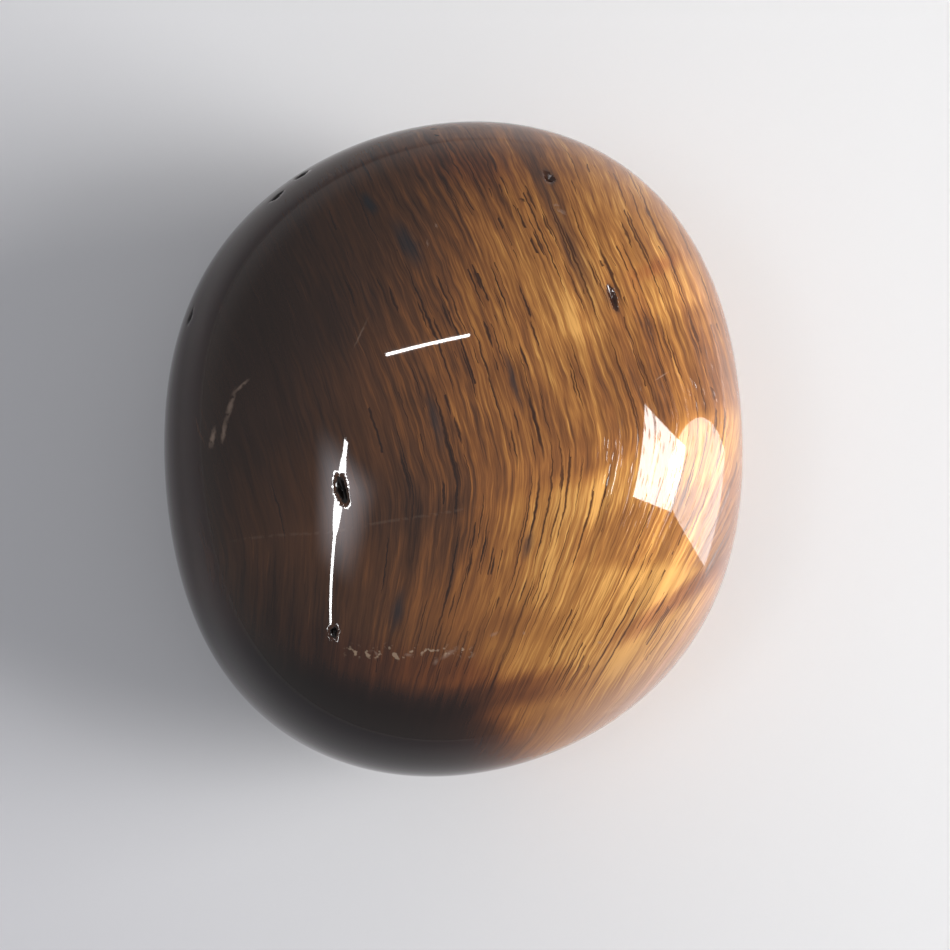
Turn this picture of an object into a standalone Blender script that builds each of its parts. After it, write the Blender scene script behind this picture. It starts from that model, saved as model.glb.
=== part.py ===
"""A polished tiger's eye: one tumbled oval stone, smooth all over, that rests on a small worn flat.

Metres, +Z up, +Y along the stone's length. The origin is under the middle of the stone, on the flat.
The form is worked out by formula from the named sizes below: a rounded outline seen from above, and a
domed crown and a fuller belly that meet at the girdle, the stone's widest line.
"""

from math import cos, radians, sin

import bmesh
import bpy
import numpy as np
from mathutils import Matrix, Vector

MM = 0.001

# The outline from above: a mean radius, stretched to an oval and very slightly squared off
MEAN_RADIUS = 19.05 * MM
OVAL_STRETCH = 1.15 * MM
OVAL_DIRECTION = radians(83.0)
SQUARENESS = 0.3 * MM
SQUARE_DIRECTION = radians(55.0)

# The section: how far the crown rises over the girdle and the belly hangs under it.
# A fullness of 2 is an ellipse, and a larger one is flatter on its face and tighter at its edge.
CROWN_RISE = 9.0 * MM
BELLY_DEPTH = 9.6 * MM
CROWN_FULLNESS = 2.2
BELLY_FULLNESS = 2.4

# The girdle isn't level: it climbs on one side of the stone, where the edge is tighter, and drops
# on the other, where the edge is rounder
GIRDLE_LEAN = 2.4 * MM
LEAN_DIRECTION = radians(33.0)

# What wear has taken off the lowest point of the belly, which leaves the flat
FLAT_WEAR = 0.15 * MM

# Broad, low swells and hollows from tumbling: centre x and y, reach, and height at the middle
CROWN_SWELLS = [
    (9.0 * MM, 9.0 * MM, 6.5 * MM, 0.22 * MM),
    (-8.0 * MM, 3.0 * MM, 5.5 * MM, -0.14 * MM),
    (-6.0 * MM, -11.0 * MM, 6.0 * MM, 0.2 * MM),
    (11.0 * MM, -5.0 * MM, 5.0 * MM, 0.16 * MM),
]
BELLY_SWELLS = [
    (-10.0 * MM, 8.0 * MM, 6.0 * MM, 0.25 * MM),
    (9.0 * MM, -10.0 * MM, 6.5 * MM, -0.25 * MM),
    (11.0 * MM, 7.0 * MM, 5.0 * MM, 0.2 * MM),
]

# Open pits where fibres broke out: centre x and y, length, width, depth, and the direction they run
CROWN_PITS = [
    (-6.3 * MM, -3.0 * MM, 1.7 * MM, 0.55 * MM, 0.5 * MM, radians(108.0)),
    (-6.8 * MM, -11.3 * MM, 0.7 * MM, 0.45 * MM, 0.35 * MM, radians(80.0)),
    (5.9 * MM, 15.8 * MM, 0.9 * MM, 0.55 * MM, 0.3 * MM, radians(130.0)),
    (9.6 * MM, 8.4 * MM, 1.9 * MM, 0.45 * MM, 0.25 * MM, radians(106.0)),
    (-9.1 * MM, 16.5 * MM, 1.0 * MM, 0.45 * MM, 0.35 * MM, radians(30.0)),
    (-10.5 * MM, 15.2 * MM, 1.0 * MM, 0.35 * MM, 0.25 * MM, radians(42.0)),
    (-15.8 * MM, 7.9 * MM, 1.1 * MM, 0.35 * MM, 0.25 * MM, radians(62.0)),
]
BELLY_PITS = [
    (7.5 * MM, 5.0 * MM, 1.6 * MM, 0.6 * MM, 0.4 * MM, radians(105.0)),
    (-9.5 * MM, -6.0 * MM, 1.2 * MM, 0.5 * MM, 0.35 * MM, radians(70.0)),
    (-2.0 * MM, 12.5 * MM, 1.0 * MM, 0.6 * MM, 0.35 * MM, radians(115.0)),
]

# Mesh fineness: the stone starts as an icosphere, and each pit's cutter as a small sphere
STONE_SUBDIVISIONS = 5
PIT_SEGMENTS = 12
PIT_RINGS = 8

# Edges that turn more than this stay crisp: the flat's rim and the pits' rims
CRISP_EDGE = radians(40.0)

# How far apart heights are compared to find which way the surface faces
SLOPE_STEP = 0.1 * MM

# The flat's height, measured from the girdle's mean level
FLAT_LEVEL = FLAT_WEAR - BELLY_DEPTH


def clear_scene():
    """Remove whatever objects the open file holds."""
    for old in list(bpy.data.objects):
        bpy.data.objects.remove(old, do_unlink=True)


def outline_radius(azimuth):
    """The outline's radius in a direction seen from above: the mean, its oval and its squareness."""
    oval = OVAL_STRETCH * np.cos(2.0 * (azimuth - OVAL_DIRECTION))
    square = SQUARENESS * np.cos(4.0 * (azimuth - SQUARE_DIRECTION))
    return MEAN_RADIUS + oval + square


def girdle_climb(x, y):
    """How far the girdle's lean lifts the surface at x, y, in proportion to the reach from the middle."""
    azimuth = np.arctan2(y, x)
    reach = np.hypot(x, y) / outline_radius(azimuth)
    return GIRDLE_LEAN * reach * np.cos(azimuth - LEAN_DIRECTION)


def swell_height(x, y, swells):
    """The sum of the low round swells at x, y, each a bell curve of its own reach and height."""
    return sum(
        height * np.exp(-((x - centre_x) ** 2 + (y - centre_y) ** 2) / reach**2)
        for centre_x, centre_y, reach, height in swells
    )


def crown_height(x, y, fill):
    """Height over the girdle's mean level on the crown. Fill is 1 at the middle and 0 at the girdle."""
    climb = girdle_climb(x, y)
    return CROWN_RISE * fill + climb * (1.0 - fill) + fill * swell_height(x, y, CROWN_SWELLS)


def belly_height(x, y, fill):
    """Height on the belly, below the girdle's mean level. Fill is 1 at the middle and 0 at the girdle."""
    climb = girdle_climb(x, y)
    return -BELLY_DEPTH * fill + climb * (1.0 - fill) - fill * swell_height(x, y, BELLY_SWELLS)


def stone_points(directions):
    """Points of the stone's surface for unit vectors: the azimuth picks the radius, the tilt the section.

    The section is a superellipse. Its share of the radius is cos(tilt) and its share of the height is
    sin(tilt), each to the power of two over the fullness.
    """
    azimuth = np.arctan2(directions[:, 1], directions[:, 0])
    rise = directions[:, 2]
    level = np.hypot(directions[:, 0], directions[:, 1])
    fullness = np.where(rise > 0.0, CROWN_FULLNESS, BELLY_FULLNESS)
    radius = outline_radius(azimuth) * level ** (2.0 / fullness)
    fill = np.abs(rise) ** (2.0 / fullness)
    x = radius * np.cos(azimuth)
    y = radius * np.sin(azimuth)
    z = np.where(rise > 0.0, crown_height(x, y, fill), belly_height(x, y, fill))
    return np.stack([x, y, z - FLAT_LEVEL], axis=1)


def surface_place(x, y, height_of, fullness):
    """A point of the crown or the belly over x, y, and the surface's outward normal there."""

    def height(px, py):
        reach = np.hypot(px, py) / outline_radius(np.arctan2(py, px))
        fill = (1.0 - min(reach, 1.0) ** fullness) ** (1.0 / fullness)
        return float(height_of(px, py, fill)) - FLAT_LEVEL

    slope_x = (height(x + SLOPE_STEP, y) - height(x - SLOPE_STEP, y)) / (2.0 * SLOPE_STEP)
    slope_y = (height(x, y + SLOPE_STEP) - height(x, y - SLOPE_STEP)) / (2.0 * SLOPE_STEP)
    normal = Vector((-slope_x, -slope_y, 1.0)).normalized()
    if height_of is belly_height:
        normal.negate()
    return Vector((x, y, height(x, y))), normal


def stone_material():
    """Glossy golden brown stone."""
    material = bpy.data.materials.new("tigers_eye")
    material.use_nodes = True
    shader = material.node_tree.nodes["Principled BSDF"]
    shader.inputs["Base Color"].default_value = (0.26, 0.13, 0.045, 1.0)
    shader.inputs["Metallic"].default_value = 0.0
    shader.inputs["Roughness"].default_value = 0.12
    shader.inputs["IOR"].default_value = 1.54
    return material


def make_stone(collection, material):
    """The stone: an icosphere moved onto the formula's surface, then worn flat where it rests."""
    mesh = bpy.data.meshes.new("tigers_eye_stone")
    form = bmesh.new()
    bmesh.ops.create_icosphere(form, subdivisions=STONE_SUBDIVISIONS, radius=1.0)
    directions = np.array([vert.co.normalized() for vert in form.verts])
    for vert, point in zip(form.verts, stone_points(directions)):
        vert.co = point
    everything = form.verts[:] + form.edges[:] + form.faces[:]
    cut = bmesh.ops.bisect_plane(
        form,
        geom=everything,
        plane_co=(0.0, 0.0, 0.0),
        plane_no=(0.0, 0.0, -1.0),
        clear_outer=True,
    )
    rim = [edge for edge in cut["geom_cut"] if isinstance(edge, bmesh.types.BMEdge)]
    bmesh.ops.contextual_create(form, geom=rim)
    bmesh.ops.recalc_face_normals(form, faces=form.faces[:])
    form.to_mesh(mesh)
    form.free()
    mesh.shade_smooth()
    mesh.set_sharp_from_angle(angle=CRISP_EDGE)
    mesh.materials.append(material)
    stone = bpy.data.objects.new("tigers_eye_stone", mesh)
    collection.objects.link(stone)
    return stone


def make_pit_cutter(name, collection, place, normal, length, width, depth, direction):
    """A small ellipsoid, sunk into the surface to its middle, that leaves one open pit."""
    mesh = bpy.data.meshes.new(name)
    form = bmesh.new()
    bmesh.ops.create_uvsphere(form, u_segments=PIT_SEGMENTS, v_segments=PIT_RINGS, radius=1.0)
    along = Vector((cos(direction), sin(direction), 0.0))
    along = (along - normal * along.dot(normal)).normalized()
    across = normal.cross(along)
    turn = Matrix((along, across, normal)).transposed().to_4x4()
    scale = Matrix.Diagonal((length / 2.0, width / 2.0, depth, 1.0))
    form.transform(Matrix.Translation(place) @ turn @ scale)
    form.to_mesh(mesh)
    form.free()
    cutter = bpy.data.objects.new(name, mesh)
    cutter.hide_render = True
    cutter.display_type = "WIRE"
    collection.objects.link(cutter)
    return cutter


def cut_pits(stone, collection, pits, height_of, fullness, name):
    """Cut each listed pit into the stone with a cutter of its own."""
    for number, (x, y, length, width, depth, direction) in enumerate(pits, start=1):
        place, normal = surface_place(x, y, height_of, fullness)
        cutter_name = f"{name}_{number}"
        cutter = make_pit_cutter(cutter_name, collection, place, normal, length, width, depth, direction)
        cut = stone.modifiers.new(cutter_name, "BOOLEAN")
        cut.operation = "DIFFERENCE"
        cut.object = cutter


def build():
    """Make the stone and its pits, each kind of object in a collection of its own."""
    clear_scene()
    parts = bpy.data.collections.new("tigers_eye")
    cutters = bpy.data.collections.new("pit_cutters")
    for collection in (parts, cutters):
        bpy.context.scene.collection.children.link(collection)
    stone = make_stone(parts, stone_material())
    cut_pits(stone, cutters, CROWN_PITS, crown_height, CROWN_FULLNESS, "crown_pit")
    cut_pits(stone, cutters, BELLY_PITS, belly_height, BELLY_FULLNESS, "belly_pit")


build()
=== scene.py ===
"""A polished tiger's eye stone on a pale floor with a painted pool of light, lit by a soft window light from
its right.

The frame is the CAD stone's own: metres, +Z up, +Y along the stone, the origin under its middle.
"""

from collections import namedtuple
from math import cos, pi, radians, sin, tan

import bpy
import numpy as np
from mathutils import Matrix, Vector


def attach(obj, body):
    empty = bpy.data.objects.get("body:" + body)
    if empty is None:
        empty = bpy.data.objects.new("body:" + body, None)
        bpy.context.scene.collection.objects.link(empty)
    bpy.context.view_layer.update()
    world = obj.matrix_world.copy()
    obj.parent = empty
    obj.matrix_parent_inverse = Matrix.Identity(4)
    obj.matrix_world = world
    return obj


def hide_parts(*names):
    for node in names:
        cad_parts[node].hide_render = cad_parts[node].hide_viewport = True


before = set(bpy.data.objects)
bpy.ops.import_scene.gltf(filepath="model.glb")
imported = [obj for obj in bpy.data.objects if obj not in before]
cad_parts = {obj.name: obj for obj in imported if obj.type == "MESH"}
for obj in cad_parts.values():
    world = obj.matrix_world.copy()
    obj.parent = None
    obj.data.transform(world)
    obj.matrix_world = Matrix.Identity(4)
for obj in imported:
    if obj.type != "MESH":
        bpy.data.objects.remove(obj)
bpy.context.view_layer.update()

MM = 0.001

# The stone's form, as the CAD solid has it: the outline seen from above
MEAN_RADIUS = 19.05 * MM
OVAL_STRETCH = 1.15 * MM
OVAL_DIRECTION = radians(83.0)
SQUARENESS = 0.3 * MM
SQUARE_DIRECTION = radians(55.0)

# The section: the crown's rise over the girdle, the belly's depth under it, and how full each is
CROWN_RISE = 9.0 * MM
BELLY_DEPTH = 9.6 * MM
CROWN_FULLNESS = 2.2
BELLY_FULLNESS = 2.4
GIRDLE_LEAN = 2.4 * MM
LEAN_DIRECTION = radians(33.0)
FLAT_WEAR = 0.15 * MM
GIRDLE_HEIGHT = BELLY_DEPTH - FLAT_WEAR
STONE_MIDDLE = Vector((0.0, 0.0, GIRDLE_HEIGHT))

# Broad, low swells and hollows: centre x and y, reach, and height at the middle
CROWN_SWELLS = [
    (9.0 * MM, 9.0 * MM, 6.5 * MM, 0.22 * MM),
    (-8.0 * MM, 3.0 * MM, 5.5 * MM, -0.14 * MM),
    (-6.0 * MM, -11.0 * MM, 6.0 * MM, 0.2 * MM),
    (11.0 * MM, -5.0 * MM, 5.0 * MM, 0.16 * MM),
]
BELLY_SWELLS = [
    (-10.0 * MM, 8.0 * MM, 6.0 * MM, 0.25 * MM),
    (9.0 * MM, -10.0 * MM, 6.5 * MM, -0.25 * MM),
    (11.0 * MM, 7.0 * MM, 5.0 * MM, 0.2 * MM),
]

# Open pits where fibres broke out: centre x and y, length, width, depth, and the direction they run
CROWN_PITS = [
    (-6.3 * MM, -3.0 * MM, 1.7 * MM, 0.55 * MM, 0.5 * MM, radians(108.0)),
    (-6.8 * MM, -11.3 * MM, 0.7 * MM, 0.45 * MM, 0.35 * MM, radians(80.0)),
    (5.9 * MM, 15.8 * MM, 0.9 * MM, 0.55 * MM, 0.3 * MM, radians(130.0)),
    (9.6 * MM, 8.4 * MM, 1.9 * MM, 0.45 * MM, 0.25 * MM, radians(106.0)),
    (-9.1 * MM, 16.5 * MM, 1.0 * MM, 0.45 * MM, 0.35 * MM, radians(30.0)),
    (-10.5 * MM, 15.2 * MM, 1.0 * MM, 0.35 * MM, 0.25 * MM, radians(42.0)),
    (-15.8 * MM, 7.9 * MM, 1.1 * MM, 0.35 * MM, 0.25 * MM, radians(62.0)),
]
BELLY_PITS = [
    (7.5 * MM, 5.0 * MM, 1.6 * MM, 0.6 * MM, 0.4 * MM, radians(105.0)),
    (-9.5 * MM, -6.0 * MM, 1.2 * MM, 0.5 * MM, 0.35 * MM, radians(70.0)),
    (-2.0 * MM, 12.5 * MM, 1.0 * MM, 0.6 * MM, 0.35 * MM, radians(115.0)),
]

# A pit's rim runs a little inside its listed size, and three and five lobes make it ragged. Each pit's
# own place turns its lobes. A bowl under 1 has steeper walls and a flatter bottom. A pit takes only what
# lies in a thin layer at its own surface.
RIM_INSET = 1.08
THREE_LOBES = 0.1
FIVE_LOBES = 0.06
THREE_LOBES_TURN = 900.0
FIVE_LOBES_TURN = 700.0
PIT_BOWL = 0.7
PIT_LAYER = 2.0 * MM

# The stone's skin is six square grids wrapped round it, with this many cells across and upright
CELLS_ACROSS = 152
CELLS_UPRIGHT = 80

# How strongly the grids are drawn in towards a pit, and from how far in units of the direction sphere
PIT_PULL = 0.86
PIT_PULL_REACH = 0.09

# How far apart points are compared to find which way the surface faces
SLOPE_STEP = 0.1 * MM

# From here to the breaks in the polish, places and sizes are in millimetres in the stone. A pair is
# where a change starts and where it is complete, and a noise's scale is per millimetre, for each way.

# The fibres run along the stone and bend at a kink line that climbs to the right. They shift sideways
# for each millimetre above and below it, and below it more and more, the more so on the right.
KINK_SLOPE = 0.29
KINK_LEVEL = 2.7
KINK_ROUNDING = 0.6
LEAN_ABOVE = 0.25
CURVE_ABOVE = 0.004
LEAN_BELOW = 0.05
SWEEP_BELOW = 0.0175
SWEEP_PER_X = 0.0015
SWEEP_LEAST = 0.0055

# Under the shoulder the pattern slants, for each millimetre of depth
SHOULDER_HEIGHT = 13.0
ACROSS_PER_DEPTH = 0.5
SIDE_PER_DEPTH = 0.35
ALONG_PER_DEPTH = 0.4

# Noise that bends and frays the fibres: its scale, and how far it shifts them
WANDER_SCALE = (0.1, 0.1, 0.1)
WANDER = 0.7
QUIVER_SCALE = (1.1, 0.6, 0.8)
QUIVER = 0.22
FRAY_SCALE = (3.0, 2.4)
FRAY = 0.16

# How much finer grain a noise has inside it
SMOOTH = 1.0
GRITTY = 2.0
FRAYED = 3.0

# The grain of the fibres, from the finest to broad ones: its scale, and how strong its streaks are
FINE_SCALE = (4.2, 0.2, 0.35)
FINE_ROUGHNESS = 0.72
MIDDLE_SCALE = (1.6, 0.08, 0.22)
BROAD_SCALE = (0.5, 0.05, 0.12)
PATCH_SCALE = (0.3, 0.2, 0.25)
MOTTLE_SCALE = (0.45, 0.3, 0.3)
MOTTLE_SHIFT = 9.0
WORN_SCALE = (2.8, 2.8, 2.8)
FINE_STREAKS = 0.95
MIDDLE_STREAKS = 0.24
BROAD_STREAKS = 0.16
MOTTLE = 0.2

# Sets of thin lines along the fibres. The seed makes each set fall in other places.
Lines = namedtuple("Lines", "spacing length half_width seed")
FINE_PARTINGS = Lines(0.5, 3.6, 0.055, 3.0)
LONG_PARTINGS = Lines(1.15, 8.0, 0.09, 11.0)
SHORT_PARTINGS = Lines(0.8, 1.7, 0.09, 23.0)
LIT_FIBRES = Lines(0.42, 2.0, 0.06, 31.0)
POLISH_SPECKS = Lines(0.22, 0.7, 0.045, 47.0)
POLISH_LINES = Lines(1.15, 8.0, 0.08, 11.0)

# How the lines fall by chance: their starts, their places across a cell, their least girth, and the
# share of their width that is full
START_SCATTER = 9.0
PLACE_SPREAD = 0.6
PLACE_LEAST = 0.2
GIRTH_LEAST = 0.5
LINE_CORE = 0.2

# Where fibres part, what share does, and how dark each set of lines is; then the same for light lines
PARTED_ACROSS = (-9.0, 3.0)
PARTED_PATCHES = (0.42, 0.62)
PARTED_LEAST = 0.12
PARTED_MORE = 0.5
LONG_SHARE = 1.2
SHORT_SHARE = 0.4
FINE_DARK = 0.8
LONG_DARK = 0.9
SHORT_DARK = 0.85
LIT_ACROSS = (-6.0, 6.0)
LIT_LEAST = 0.08
LIT_MORE = 0.3
LIT_GLOW = 0.09

# Marks in the stone that follow its fibres: place across the fibres, place along the stone, half width,
# half length. First long dark cracks, then soft grey smudges, which spread past their listed size.
FIBRE_CRACKS = [
    (12.45, 9.8, 0.13, 2.6),
    (5.65, 0.8, 0.15, 2.6),
    (5.4, -4.4, 0.13, 3.0),
    (0.6, -1.0, 0.16, 3.1),
    (-2.15, -2.2, 0.13, 1.9),
    (-9.6, -4.2, 0.06, 2.2),
    (-3.35, -7.4, 0.05, 2.3),
    (6.0, 8.8, 0.06, 2.2),
    (8.4, 3.4, 0.06, 2.4),
    (9.5, -3.2, 0.07, 2.8),
    (2.55, -6.3, 0.06, 2.6),
    (13.1, -11.0, 0.07, 1.7),
    (10.5, -10.8, 0.07, 1.6),
]
FIBRE_SMUDGES = [
    (11.2, 15.9, 0.45, 0.9),
    (2.2, 11.6, 0.5, 1.9),
    (1.2, 14.2, 0.35, 0.9),
    (0.2, 0.9, 0.3, 2.0),
    (5.4, -6.2, 0.4, 1.1),
    (-2.1, -10.0, 0.42, 1.5),
    (5.0, 3.4, 0.22, 2.2),
    (11.9, 8.3, 0.25, 1.0),
]
SMUDGE_WIDER = 1.5
SMUDGE_LONGER = 1.2
CRACK_SHADE = 0.14
SMUDGE_SHADE = 0.12

# A grey column among the fibres: its place across them, half width, softness and start
COLUMN_LINE = (10.9, 1.0, 0.9)
COLUMN_WAVE = 0.8
COLUMN_START = (7.0, 11.0)
COLUMN_SHADE = 0.17

# How light the silk is, from 0 to 1: its least, what the golden right side adds, and what bands and streaks
# add. The golden right side is partly the stone's own colour and partly painted sheen from the window on the
# right.
GLOW_LEAST = 0.155
GOLD_AND_SHEEN_GLOW = 0.64
GOLD_AND_SHEEN_ACROSS = (-14.0, 13.0)
BAND_AND_SHEEN_GLOW = 0.36
BANDED_ACROSS = (-8.0, 6.0)
RIGHT_RIM = (13.0, 17.0)
RIGHT_RIM_SHADE = 0.12
STREAKS_LEAST = 0.3
STREAKS_MORE = 0.7
STREAKED_ACROSS = (-10.0, 3.0)

# Golden and brown bands across the fibres, partly the stone's own banding and partly painted sheen: place
# across the bands, and how light. Their edges are feathered fibre by fibre, and below the kink they lie
# lower, all but near the right rim.
BAND_AND_SHEEN_STOPS = [
    (-19.0, 0.4),
    (-17.2, 0.6),
    (-15.0, 0.8),
    (-12.0, 0.9),
    (-9.5, 0.85),
    (-7.0, 0.8),
    (-4.5, 0.9),
    (-3.4, 0.85),
    (-2.4, 0.42),
    (3.2, 0.42),
    (4.4, 0.66),
    (7.5, 0.55),
    (13.0, 0.5),
    (17.0, 0.25),
]
BANDS_SPAN = 44.0
FINE_FEATHER = 1.6
MIDDLE_FEATHER = 1.2
BAND_WANDER = 0.5
BAND_DROP = 1.7
BAND_DROP_LEFT = (14.0, 8.0)
BAND_DROP_BELOW = (1.0, -1.0)

# Where the streaks are calmer, low on the stone, and where they are livelier, in the upper middle and
# on the right
CALM_FOOT = (-12.2, -15.5)
CALM_AREA = ((2.5, -11.8, 15.0), (7.0, 3.5, 12.0), 0.0, 0.3)
CALMING = 0.5
LIVELY_UP = (-4.0, 3.0)
LIVELY_FROM = (-6.0, 2.0)
LIVELY_TO = (12.0, 6.0)
LIVELY_SIDE = (6.0, 9.0)
LIVELY_SIDE_SHARE = 0.4
LIVENING = 0.35

# Where the silk is lighter or darker than its bands alone make it: centre x and y, half sizes, and how
# much lighter. The fibre grain feathers them.
LIGHTER_AREAS = [
    (1.2, 2.2, 3.0, 3.2, 0.13),
    (3.8, 9.6, 2.2, 4.4, 0.1),
    (-0.6, -5.2, 5.6, 5.6, -0.22),
    (0.5, -12.8, 3.6, 2.4, -0.09),
    (11.2, 3.4, 5.6, 7.5, -0.19),
    (11.2, 7.6, 4.5, 2.8, -0.09),
    (15.6, 4.4, 2.4, 3.4, -0.08),
    (8.3, -0.8, 2.8, 3.0, -0.13),
    (8.8, -8.8, 3.6, 3.0, -0.07),
    (10.6, -12.6, 3.0, 2.0, 0.06),
    (6.4, -3.4, 1.6, 2.2, 0.1),
    (-3.0, 12.3, 5.0, 5.0, -0.07),
    (-6.0, 8.0, 3.8, 5.5, -0.06),
    (-10.3, 6.8, 4.2, 5.4, -0.04),
    (-10.5, -5.5, 6.5, 8.0, 0.1),
    (6.0, -6.6, 2.2, 2.2, 0.05),
]
AREA_FEATHER_X = 1.2
AREA_FEATHER_Y = 1.6

# Marks reach down into the stone: the height of their middles, and how far they go up and down
INSIDE_MIDDLE = 15.0
INSIDE_REACH = 12.0
AREA_REACH = 14.0
SURFACE_MIDDLE = 12.0
SURFACE_REACH = 9.0

# The brown wedge at the lower right: what is below its upper edge and above its lower one
WEDGE_SLOPE = 0.3
WEDGE_LOWER = (-7.7, -6.7)
WEDGE_UPPER = (-6.2, -7.6)
WEDGE_ACROSS = (5.5, 10.0)
WEDGE_SHADE = 0.17

# The brown patch left of it, as a mark: centre, half sizes, direction and edge
PATCH = ((4.4, -10.9, 15.0), (4.4, 1.5, 12.0), 0.0, 0.2)
PATCH_SHADE = 0.1

# The slanting vein at the lower right: its slope, level, half width and softness
VEIN_SLOPE = 0.69
VEIN_UPRIGHTNESS = 0.82
VEIN_LINE = (-15.2, 0.75, 0.8)
VEIN_ACROSS = (8.0, 12.0)
VEIN_SHADE = 0.14

# The low brown band above the foot
LOW_BAND_SLOPE = 0.2
LOW_BAND_LINE = (-15.5, 1.4, 0.8)
LOW_BAND_TO = (10.0, 3.0)
LOW_BAND_FROM = (-3.0, 1.0)
LOW_BAND_SHADE = 0.26
EDGE_FEATHER = 0.3

# The dark foot: its upper edge is a shallow arc that drops to the right, where it is softer too
FOOT_LEVEL = 14.7
FOOT_SLOPE = 0.05
FOOT_CURVE = 0.02
FOOT_DROP = 2.6
FOOT_DROP_ACROSS = (0.0, 8.0)
FOOT_FEATHER = 0.4
FOOT_START = 0.6
FOOT_END = -1.5
FOOT_SOFTER = 2.0
FOOT_SOFTER_ACROSS = (0.0, 6.0)
FOOT_TO = (7.5, -2.5)
FOOT_SHADE = 0.85

# The silk's colours, from its darkest to its lightest
SILK_COLOURS = [
    (0.0, (0.011, 0.006, 0.004)),
    (0.2, (0.034, 0.016, 0.010)),
    (0.4, (0.10, 0.040, 0.017)),
    (0.6, (0.23, 0.086, 0.025)),
    (0.8, (0.41, 0.174, 0.043)),
    (1.0, (0.70, 0.365, 0.10)),
]

# Rust-red stains, which multiply the colour: where each is, and how strong
RUST = (0.62, 0.36, 0.42)
RED_LAYER_UP = (3.2, 1.2)
RED_LAYER_FROM = (-12.0, -6.0)
RED_LAYER_TO = (6.0, 1.0)
RED_LAYER_RUST = 0.5
STAIN = ((12.3, 10.4, 14.0), (3.2, 0.9, 12.0), radians(28.0), 0.1)
TOP_STAIN = ((1.0, 16.6, 14.0), (5.5, 2.2, 12.0), radians(-8.0), 0.0)
STAIN_RUST = 0.6
VEIN_RUST = 0.5
LOW_BAND_RUST = 0.45

# Grey, ashen places: what is added to the colour and then what it is multiplied by
ASH_LIFT = (0.02, 0.035, 0.042)
ASH_DARKEN = (0.36, 0.40, 0.48)
COLUMN_ASH = 0.4
SMUDGE_ASH = 0.9

# Cracks are black on the left and brown on the right, where window light is painted into them, and the
# stone's right rim is pale with painted light: a reflection and light scattered through it from the window
# side
CRACK_BLACK = (0.026, 0.012, 0.008)
CRACK_LIT_BROWN = (0.075, 0.027, 0.009)
CRACK_ACROSS = (2.0, 10.0)
PAINTED_RIM_LIGHT_COLOUR = (0.36, 0.25, 0.215)
PAINTED_RIM_LIGHT_TOP = (16.5, 11.0)
PAINTED_RIM_LIGHT_BOTTOM = (4.0, 9.0)
PAINTED_RIM_LIGHT_ACROSS = (-2.0, 8.0)
PAINTED_RIM_LIGHT_SLANT = 0.25
PAINTED_RIM_LIGHT_STRENGTH = 0.85

# Small marks in the surface: centre x and y, half length, half width, and the direction they run, in degrees.
# First dark flecks, then pale bruises and scratches, with some painted glints among them.
DARK_FLECKS = [
    (-11.9, 12.4, 0.4, 0.1, 95.0),
    (-15.6, 7.6, 0.25, 0.1, 80.0),
    (-14.7, 8.2, 0.12, 0.1, 0.0),
    (-7.4, 16.8, 0.12, 0.1, 0.0),
    (-1.0, 19.2, 0.3, 0.1, 0.0),
    (-0.8, 18.7, 0.22, 0.08, -20.0),
    (4.3, 14.3, 0.35, 0.12, 160.0),
    (-2.0, 8.6, 0.1, 0.08, 0.0),
    (-3.1, 11.2, 0.1, 0.08, 0.0),
]
PALE_BRUISES_AND_GLINTS = [
    # The first four, pinkish streaks on the far left, are painted glints
    (-14.1, 0.3, 0.9, 0.24, 80.0),
    (-13.4, 0.6, 1.0, 0.2, 82.0),
    (-13.0, 2.1, 1.5, 0.26, 74.0),
    (-12.3, 3.3, 0.9, 0.16, 40.0),
    (12.5, 3.8, 0.8, 0.07, 33.0),
    (11.2, 3.0, 0.25, 0.08, 120.0),
    (6.6, 13.6, 0.55, 0.16, 150.0),
    (6.3, 14.0, 0.3, 0.12, 160.0),
    (-5.2, 6.2, 1.6, 0.12, 65.0),
    (0.0, -12.5, 1.0, 0.24, 35.0),
    (-0.8, -13.0, 0.35, 0.2, 60.0),
    (2.6, -11.4, 0.4, 0.16, 20.0),
    (4.4, -11.3, 0.25, 0.14, 70.0),
    (-2.4, -12.6, 0.4, 0.16, 0.0),
    (-4.4, -12.5, 0.5, 0.16, -20.0),
    (8.8, -11.9, 0.25, 0.14, 0.0),
    # These last two, beside the grey smudge, are painted glints
    (-1.3, 11.6, 0.35, 0.1, 100.0),
    (-0.8, 12.7, 0.3, 0.1, 110.0),
]
FLECK_COLOUR = (0.012, 0.007, 0.005)
BRUISE_AND_GLINT_COLOUR = (0.36, 0.255, 0.195)
BRUISE_AND_GLINT_EDGE = 0.1
BRUISE_AND_GLINT_WORN = (0.25, 0.45)
BRUISE_AND_GLINT_STRENGTH = 0.7
MARK_RAGGEDNESS = 0.35

# A row of tiny chips, and one healed line: level, half width and softness, and where they run
CHIP_ROW = (-12.4, 0.5, 0.8)
CHIP_ROW_WAVE = 1.5
CHIP_ROW_FROM = (-6.5, -5.5)
CHIP_ROW_TO = (1.6, 0.9)
CHIP_WORN = (0.56, 0.66)
CHIP_STRENGTH = 0.75
CHIP_COLOUR = (0.42, 0.30, 0.20)
HEALED_SLOPE = 0.13
HEALED_WAVE = 2.0
HEALED_LINE = (-4.35, 0.14, 0.9)
HEALED_FROM = (-14.0, -11.0)
HEALED_TO = (3.0, 0.0)
HEALED_WORN = (0.4, 0.6)
HEALED_STRENGTH = 0.1
HEALED_COLOUR = (0.30, 0.22, 0.17)

# Painted shade inside the pits: black on the left, and brown on the right, where the window light reaches
PIT_SHADE_BLACK = (0.008, 0.005, 0.004)
PIT_SHADE_BROWN = (0.055, 0.02, 0.01)
PIT_ACROSS = (0.0, 4.0)
PIT_EDGE = (0.0, 0.12)

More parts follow.
